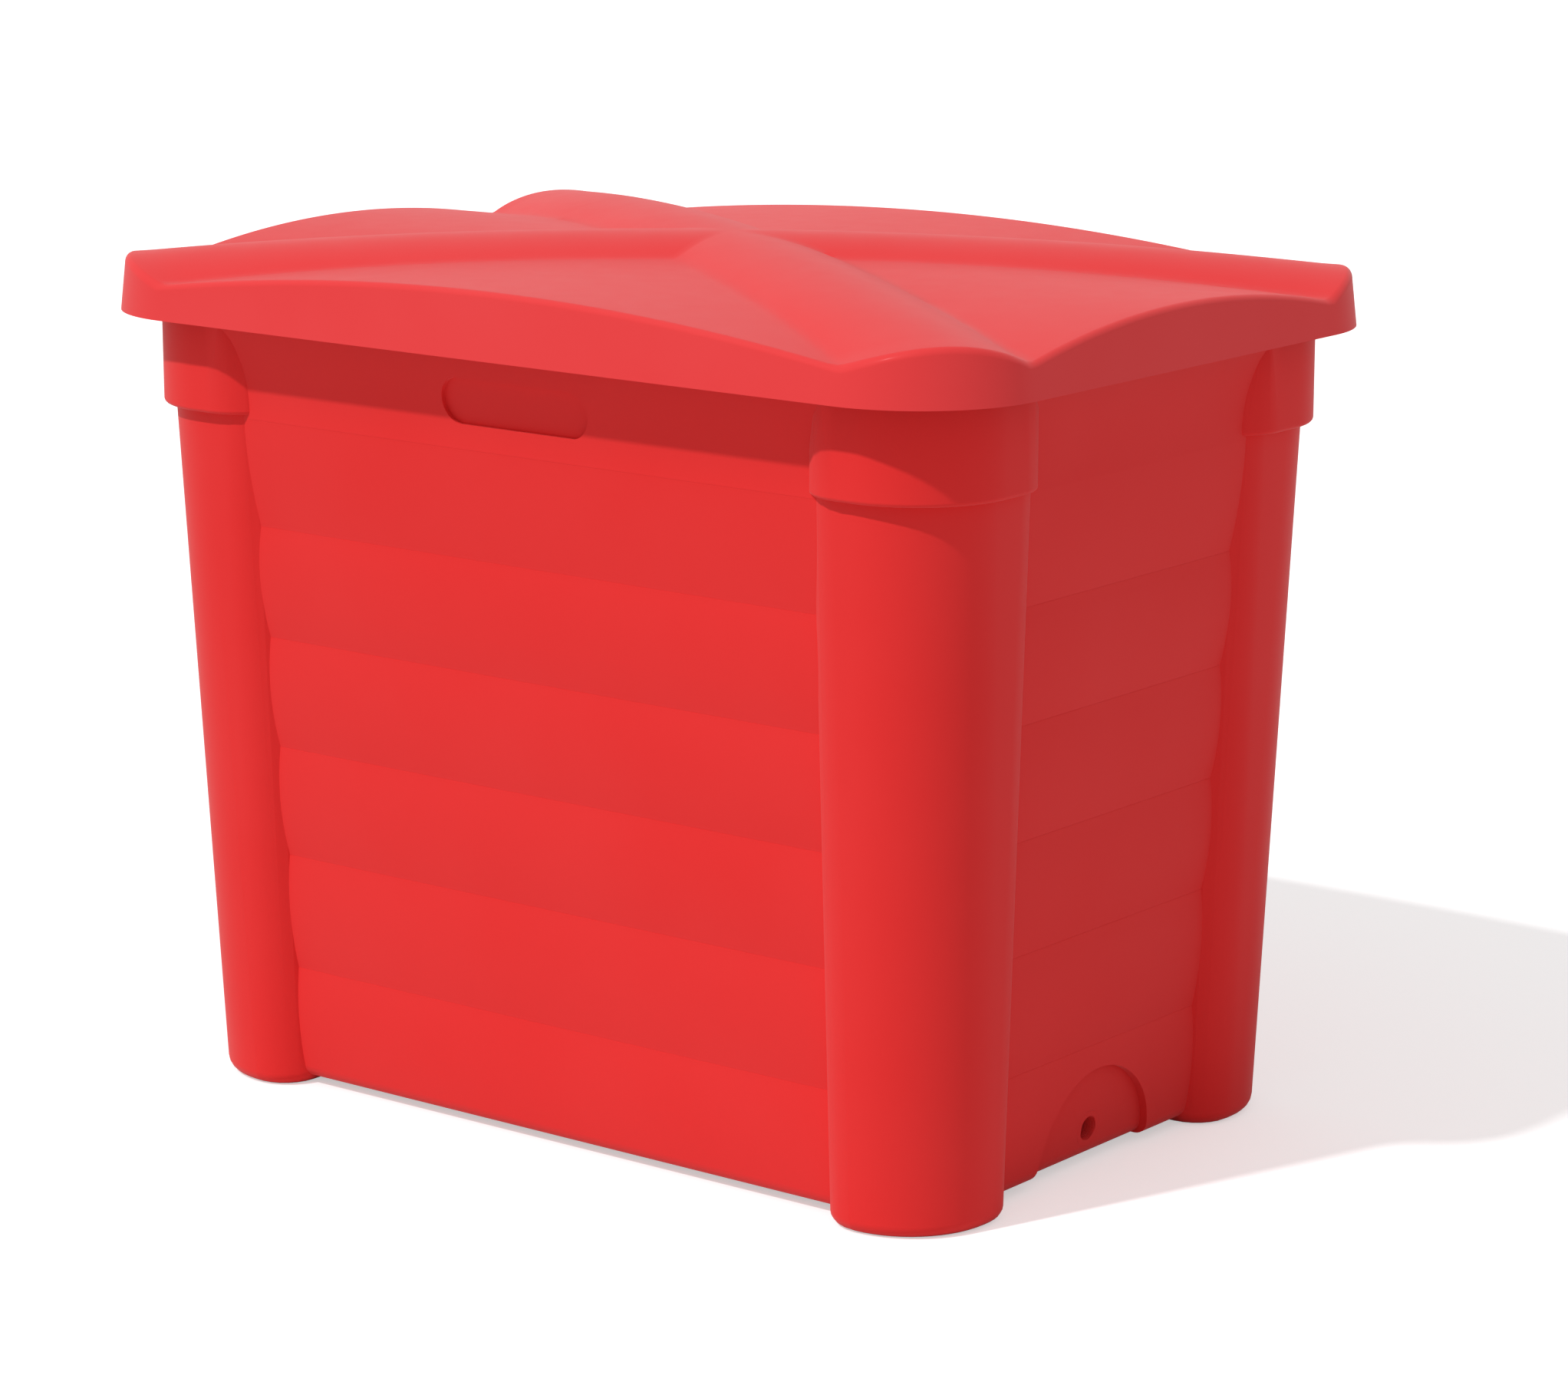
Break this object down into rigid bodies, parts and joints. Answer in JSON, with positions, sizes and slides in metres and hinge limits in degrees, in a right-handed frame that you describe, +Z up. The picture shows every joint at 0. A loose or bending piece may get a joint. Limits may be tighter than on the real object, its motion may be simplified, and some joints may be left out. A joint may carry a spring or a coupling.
{
  "type": "grit salt bin",
  "caption": "Moulded plastic grit salt bin with ribbed panels between corner posts, a hinged vaulted lid and a drain at one end.",
  "frame": {"origin": "middle of the footprint, on the ground", "axes": "+X along the front towards the drain, +Y towards the hinged back, +Z up"},
  "size_m": [1.08, 0.7605, 0.8713],
  "materials": {
    "red_plastic": "satin",
    "zinc_steel": "satin"
  },
  "bodies": {
    "tub_body": {"tub": "red_plastic", "drain_bush": "red_plastic", "hinge_tub_leaf_left": "zinc_steel", "hinge_tub_leaf_right": "zinc_steel", "hinge_pin_left": "zinc_steel", "hinge_pin_right": "zinc_steel", "tub_hinge_bolts": "zinc_steel", "tub_hinge_washers": "zinc_steel", "tub_hinge_nuts": "zinc_steel"},
    "lid_body": {"lid": "red_plastic", "hinge_lid_leaf_left": "zinc_steel", "hinge_lid_leaf_right": "zinc_steel", "lid_hinge_bolts": "zinc_steel", "lid_hinge_washers": "zinc_steel", "lid_hinge_nuts": "zinc_steel"}
  },
  "joints": [
    {"name": "lid_hinge", "type": "hinge", "parent": "tub_body", "child": "lid_body", "pos_m": [0, 0.358, 0.794], "axis": [-1, 0, 0], "range_deg": [0, 100]}
  ]
}
